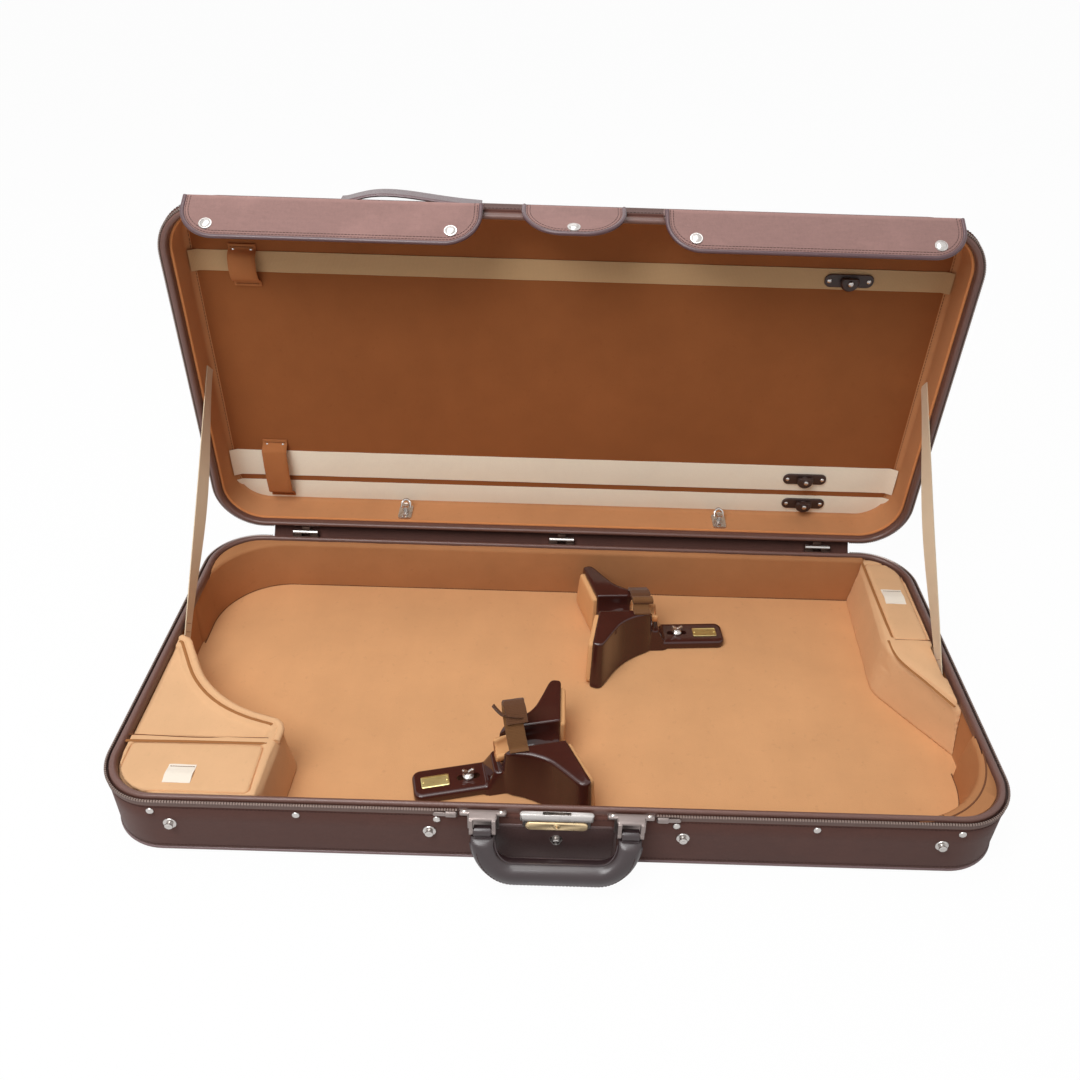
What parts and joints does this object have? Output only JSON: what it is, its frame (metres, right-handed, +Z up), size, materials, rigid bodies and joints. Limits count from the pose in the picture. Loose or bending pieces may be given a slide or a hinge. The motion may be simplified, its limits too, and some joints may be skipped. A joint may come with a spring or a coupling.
{
  "type": "double violin case",
  "caption": "Open oblong carrying case for two violins: hinged lid with bow fittings, velvet interior with pockets and neck cradles, zip, lock and handle.",
  "frame": {"origin": "centre of the flat underside of the base", "axes": "+X to the right along the case, -Y towards the handle, +Z up"},
  "size_m": [0.799, 0.4793, 0.4663],
  "materials": {
    "canvas": "brown woven canvas over board",
    "vinyl": "brown vinyl, satin",
    "velvet": "tan velvet",
    "webbing": "cream webbing",
    "moulded": "dark brown moulded plastic, glossy",
    "strapping": "brown hook-and-loop strap",
    "metal": "bright plated metal",
    "brass": "polished brass",
    "zip": "grey brown zip",
    "leathery": "dark brown leather, satin"
  },
  "bodies": {
    "base": {"base_shell": "canvas", "base_rim": "vinyl", "floor_lining": "velvet", "wall_lining": "velvet", "left_front_block": "velvet", "right_rear_block": "velvet", "base_zip_left": "zip", "base_zip_right": "zip", "snap_stud_left_outer": "metal", "snap_stud_left_inner": "metal", "snap_stud_middle": "metal", "snap_stud_right_inner": "metal", "snap_stud_right_outer": "metal", "handle_mount_left": "metal", "handle_mount_right": "metal", "lock_body": "metal", "hinge_base_left": "metal", "hinge_base_middle": "metal", "hinge_base_right": "metal", "stay_tape_left": "webbing", "stay_tape_right": "webbing"},
    "lid": {"lid_shell": "canvas", "lid_rim": "vinyl", "lid_lining": "velvet", "ribbon_lower": "webbing", "ribbon_middle": "webbing", "ribbon_upper": "webbing", "bow_loop_upper": "velvet", "bow_loop_lower": "velvet", "spinner_base_lower": "leathery", "spinner_base_middle": "leathery", "spinner_base_upper": "leathery", "lid_hook_left": "metal", "lid_hook_right": "metal", "lock_strike": "metal", "grab_strap": "vinyl", "hinge_lid_left": "metal", "hinge_lid_middle": "metal", "hinge_lid_right": "metal"},
    "flap_left": {"flap_left": "canvas"},
    "flap_middle": {"flap_middle": "canvas"},
    "flap_right": {"flap_right": "canvas"},
    "handle": {"handle": "leathery"},
    "lock_lever": {"lock_lever": "brass"},
    "key_barrel": {"key_barrel": "brass"},
    "left_pocket_lid": {"left_pocket_lid": "velvet"},
    "right_pocket_lid": {"right_pocket_lid": "velvet"},
    "spinner_lower": {"spinner_lower": "leathery"},
    "spinner_middle": {"spinner_middle": "leathery"},
    "spinner_upper": {"spinner_upper": "leathery"},
    "rear_cradle": {"rear_cradle": "moulded", "rear_cradle_pad": "velvet", "rear_cradle_strap": "strapping"},
    "front_cradle": {"front_cradle": "moulded", "front_cradle_pad": "velvet", "front_cradle_strap": "strapping"},
    "rear_wing_screw": {"rear_wing_screw": "metal"},
    "front_wing_screw": {"front_wing_screw": "metal"},
    "zip_slider_left": {"zip_slider_left": "metal"},
    "zip_slider_right": {"zip_slider_right": "metal"}
  },
  "joints": [
    {"name": "lid_hinge", "type": "hinge", "parent": "base", "child": "lid", "pos_m": [0, 0.1944, 0.0695], "axis": [1, 0, 0], "range_deg": [0, 88], "deforming": ["stay_tape_left", "stay_tape_right"]},
    {"name": "flap_left_fold", "type": "hinge", "parent": "lid", "child": "flap_left", "pos_m": [0, 0.18296, 0.46004], "axis": [1, 0, 0], "range_deg": [-33, 0]},
    {"name": "flap_middle_fold", "type": "hinge", "parent": "lid", "child": "flap_middle", "pos_m": [0, 0.18296, 0.46004], "axis": [1, 0, 0], "range_deg": [-15.5, 0]},
    {"name": "flap_right_fold", "type": "hinge", "parent": "lid", "child": "flap_right", "pos_m": [0, 0.18296, 0.46004], "axis": [1, 0, 0], "range_deg": [-33, 0]},
    {"name": "handle_swing", "type": "hinge", "parent": "base", "child": "handle", "pos_m": [0, -0.1993, 0.0525], "axis": [-1, 0, 0], "range_deg": [0, 105]},
    {"name": "lock_flip", "type": "hinge", "parent": "base", "child": "lock_lever", "pos_m": [0, -0.1949, 0.0592], "axis": [1, 0, 0], "range_deg": [-75, 0]},
    {"name": "key_turn", "type": "hinge", "parent": "lock_lever", "child": "key_barrel", "pos_m": [0, -0.1961, 0.0558], "axis": [0, -1, 0], "range_deg": [0, 90]},
    {"name": "left_pocket_lift", "type": "hinge", "parent": "base", "child": "left_pocket_lid", "pos_m": [-0.323, -0.125, 0.0666], "axis": [1, 0, 0], "range_deg": [-100, 0]},
    {"name": "right_pocket_lift", "type": "hinge", "parent": "base", "child": "right_pocket_lid", "pos_m": [0.3835, 0.1065, 0.0666], "axis": [0, -1, 0], "range_deg": [-80, 0]},
    {"name": "spinner_lower_turn", "type": "hinge", "parent": "lid", "child": "spinner_lower", "pos_m": [0.284, 0.23381, 0.10139], "axis": [0, -0.9994, -0.0349], "range_deg": [-90, 90]},
    {"name": "spinner_middle_turn", "type": "hinge", "parent": "lid", "child": "spinner_middle", "pos_m": [0.28, 0.23261, 0.13587], "axis": [0, -0.9994, -0.0349], "range_deg": [-90, 90]},
    {"name": "spinner_upper_turn", "type": "hinge", "parent": "lid", "child": "spinner_upper", "pos_m": [0.281, 0.22409, 0.37972], "axis": [0, -0.9994, -0.0349], "range_deg": [-90, 90]},
    {"name": "rear_cradle_slide", "type": "slide", "parent": "base", "child": "rear_cradle", "axis": [0.9976, 0.0698, 0], "range_m": [-0.008, 0.008]},
    {"name": "front_cradle_slide", "type": "slide", "parent": "base", "child": "front_cradle", "axis": [-0.9744, -0.225, 0], "range_m": [-0.008, 0.008]},
    {"name": "rear_wing_turn", "type": "hinge", "parent": "base", "child": "rear_wing_screw", "pos_m": [0.13029, 0.09607, 0.009], "axis": [0, 0, 1], "continuous": true},
    {"name": "front_wing_turn", "type": "hinge", "parent": "base", "child": "front_wing_screw", "pos_m": [-0.08277, -0.11357, 0.009], "axis": [0, 0, 1], "continuous": true},
    {"name": "zip_left_slide", "type": "slide", "parent": "base", "child": "zip_slider_left", "axis": [-1, 0, 0], "range_m": [0, 0.228]},
    {"name": "zip_right_slide", "type": "slide", "parent": "base", "child": "zip_slider_right", "axis": [1, 0, 0], "range_m": [0, 0.228]}
  ],
  "couplings": [
    {"joint": "flap_left_fold", "follows": "lid_hinge", "ratio": -0.375},
    {"joint": "flap_middle_fold", "follows": "lid_hinge", "ratio": -0.17614},
    {"joint": "flap_right_fold", "follows": "lid_hinge", "ratio": -0.375}
  ]
}
